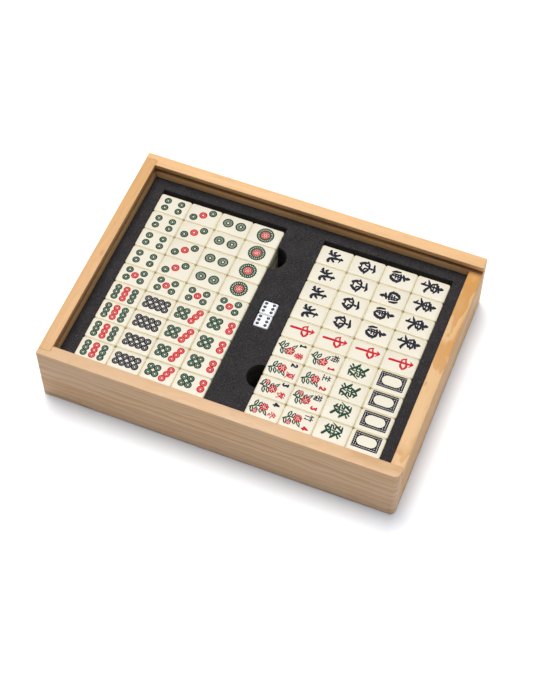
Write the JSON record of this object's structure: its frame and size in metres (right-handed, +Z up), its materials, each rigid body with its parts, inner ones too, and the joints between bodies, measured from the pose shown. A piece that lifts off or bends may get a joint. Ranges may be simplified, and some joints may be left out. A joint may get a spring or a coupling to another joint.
{
  "type": "mahjong case",
  "caption": "Open wooden game box with a cut foam insert that holds mahjong tiles in two layers and a pair of dice; the walls are grooved for a sliding lid.",
  "frame": {"origin": "middle of the underside, on the surface that the box stands on", "axes": "+Z up, +X along the box towards its low end wall, +Y towards the back wall"},
  "size_m": [0.3258, 0.236, 0.0655],
  "materials": {
    "wood": "satin",
    "panel_wood": "matte",
    "foam": "matte",
    "tile": "gloss",
    "die": "gloss"
  },
  "bodies": {
    "case": {"front_wall": "wood", "back_wall": "wood", "left_wall": "wood", "right_wall": "wood", "bottom_panel": "panel_wood", "foam_base_pad": "foam", "foam_lower_sheet": "foam", "foam_upper_sheet": "foam"},
    "front_die": {"front_die": "die"},
    "back_die": {"back_die": "die"},
    "bamboo_4": {"bamboo_4": "tile"},
    "dots_4": {"dots_4": "tile"},
    "bamboo_3": {"bamboo_3": "tile"},
    "dots_3": {"dots_3": "tile"},
    "bamboo_2": {"bamboo_2": "tile"},
    "dots_2": {"dots_2": "tile"},
    "bamboo_1": {"bamboo_1": "tile"},
    "dots_1": {"dots_1": "tile"},
    "bamboo_5": {"bamboo_5": "tile"},
    "dots_5": {"dots_5": "tile"},
    "bamboo_9": {"bamboo_9": "tile"},
    "dots_9": {"dots_9": "tile"},
    "bamboo_8": {"bamboo_8": "tile"},
    "dots_8": {"dots_8": "tile"},
    "bamboo_7": {"bamboo_7": "tile"},
    "dots_7": {"dots_7": "tile"},
    "bamboo_6": {"bamboo_6": "tile"},
    "dots_6": {"dots_6": "tile"},
    "characters_4": {"characters_4": "tile"},
    "north_wind": {"north_wind": "tile"},
    "characters_3": {"characters_3": "tile"},
    "west_wind": {"west_wind": "tile"},
    "characters_2": {"characters_2": "tile"},
    "south_wind": {"south_wind": "tile"},
    "characters_1": {"characters_1": "tile"},
    "east_wind": {"east_wind": "tile"},
    "characters_5": {"characters_5": "tile"},
    "red_dragon": {"red_dragon": "tile"},
    "characters_9": {"characters_9": "tile"},
    "flowers": {"flowers": "tile"},
    "characters_8": {"characters_8": "tile"},
    "seasons": {"seasons": "tile"},
    "characters_7": {"characters_7": "tile"},
    "green_dragon": {"green_dragon": "tile"},
    "characters_6": {"characters_6": "tile"},
    "white_dragon": {"white_dragon": "tile"}
  },
  "joints": [
    {"name": "lift_front_die", "type": "slide", "parent": "case", "child": "front_die", "axis": [0, 0, 1], "range_m": [0, 0.035]},
    {"name": "lift_back_die", "type": "slide", "parent": "case", "child": "back_die", "axis": [0, 0, 1], "range_m": [0, 0.035]},
    {"name": "lift_bamboo_4", "type": "slide", "parent": "case", "child": "bamboo_4", "axis": [0, 0, 1], "range_m": [0, 0.055]},
    {"name": "lift_dots_4", "type": "slide", "parent": "bamboo_4", "child": "dots_4", "axis": [0, 0, 1], "range_m": [0, 0.04]},
    {"name": "lift_bamboo_3", "type": "slide", "parent": "case", "child": "bamboo_3", "axis": [0, 0, 1], "range_m": [0, 0.055]},
    {"name": "lift_dots_3", "type": "slide", "parent": "bamboo_3", "child": "dots_3", "axis": [0, 0, 1], "range_m": [0, 0.04]},
    {"name": "lift_bamboo_2", "type": "slide", "parent": "case", "child": "bamboo_2", "axis": [0, 0, 1], "range_m": [0, 0.055]},
    {"name": "lift_dots_2", "type": "slide", "parent": "bamboo_2", "child": "dots_2", "axis": [0, 0, 1], "range_m": [0, 0.04]},
    {"name": "lift_bamboo_1", "type": "slide", "parent": "case", "child": "bamboo_1", "axis": [0, 0, 1], "range_m": [0, 0.055]},
    {"name": "lift_dots_1", "type": "slide", "parent": "bamboo_1", "child": "dots_1", "axis": [0, 0, 1], "range_m": [0, 0.04]},
    {"name": "lift_bamboo_5", "type": "slide", "parent": "case", "child": "bamboo_5", "axis": [0, 0, 1], "range_m": [0, 0.055]},
    {"name": "lift_dots_5", "type": "slide", "parent": "bamboo_5", "child": "dots_5", "axis": [0, 0, 1], "range_m": [0, 0.04]},
    {"name": "lift_bamboo_9", "type": "slide", "parent": "case", "child": "bamboo_9", "axis": [0, 0, 1], "range_m": [0, 0.055]},
    {"name": "lift_dots_9", "type": "slide", "parent": "bamboo_9", "child": "dots_9", "axis": [0, 0, 1], "range_m": [0, 0.04]},
    {"name": "lift_bamboo_8", "type": "slide", "parent": "case", "child": "bamboo_8", "axis": [0, 0, 1], "range_m": [0, 0.055]},
    {"name": "lift_dots_8", "type": "slide", "parent": "bamboo_8", "child": "dots_8", "axis": [0, 0, 1], "range_m": [0, 0.04]},
    {"name": "lift_bamboo_7", "type": "slide", "parent": "case", "child": "bamboo_7", "axis": [0, 0, 1], "range_m": [0, 0.055]},
    {"name": "lift_dots_7", "type": "slide", "parent": "bamboo_7", "child": "dots_7", "axis": [0, 0, 1], "range_m": [0, 0.04]},
    {"name": "lift_bamboo_6", "type": "slide", "parent": "case", "child": "bamboo_6", "axis": [0, 0, 1], "range_m": [0, 0.055]},
    {"name": "lift_dots_6", "type": "slide", "parent": "bamboo_6", "child": "dots_6", "axis": [0, 0, 1], "range_m": [0, 0.04]},
    {"name": "lift_characters_4", "type": "slide", "parent": "case", "child": "characters_4", "axis": [0, 0, 1], "range_m": [0, 0.055]},
    {"name": "lift_north_wind", "type": "slide", "parent": "characters_4", "child": "north_wind", "axis": [0, 0, 1], "range_m": [0, 0.04]},
    {"name": "lift_characters_3", "type": "slide", "parent": "case", "child": "characters_3", "axis": [0, 0, 1], "range_m": [0, 0.055]},
    {"name": "lift_west_wind", "type": "slide", "parent": "characters_3", "child": "west_wind", "axis": [0, 0, 1], "range_m": [0, 0.04]},
    {"name": "lift_characters_2", "type": "slide", "parent": "case", "child": "characters_2", "axis": [0, 0, 1], "range_m": [0, 0.055]},
    {"name": "lift_south_wind", "type": "slide", "parent": "characters_2", "child": "south_wind", "axis": [0, 0, 1], "range_m": [0, 0.04]},
    {"name": "lift_characters_1", "type": "slide", "parent": "case", "child": "characters_1", "axis": [0, 0, 1], "range_m": [0, 0.055]},
    {"name": "lift_east_wind", "type": "slide", "parent": "characters_1", "child": "east_wind", "axis": [0, 0, 1], "range_m": [0, 0.04]},
    {"name": "lift_characters_5", "type": "slide", "parent": "case", "child": "characters_5", "axis": [0, 0, 1], "range_m": [0, 0.055]},
    {"name": "lift_red_dragon", "type": "slide", "parent": "characters_5", "child": "red_dragon", "axis": [0, 0, 1], "range_m": [0, 0.04]},
    {"name": "lift_characters_9", "type": "slide", "parent": "case", "child": "characters_9", "axis": [0, 0, 1], "range_m": [0, 0.055]},
    {"name": "lift_flowers", "type": "slide", "parent": "characters_9", "child": "flowers", "axis": [0, 0, 1], "range_m": [0, 0.04]},
    {"name": "lift_characters_8", "type": "slide", "parent": "case", "child": "characters_8", "axis": [0, 0, 1], "range_m": [0, 0.055]},
    {"name": "lift_seasons", "type": "slide", "parent": "characters_8", "child": "seasons", "axis": [0, 0, 1], "range_m": [0, 0.04]},
    {"name": "lift_characters_7", "type": "slide", "parent": "case", "child": "characters_7", "axis": [0, 0, 1], "range_m": [0, 0.055]},
    {"name": "lift_green_dragon", "type": "slide", "parent": "characters_7", "child": "green_dragon", "axis": [0, 0, 1], "range_m": [0, 0.04]},
    {"name": "lift_characters_6", "type": "slide", "parent": "case", "child": "characters_6", "axis": [0, 0, 1], "range_m": [0, 0.055]},
    {"name": "lift_white_dragon", "type": "slide", "parent": "characters_6", "child": "white_dragon", "axis": [0, 0, 1], "range_m": [0, 0.04]}
  ]
}
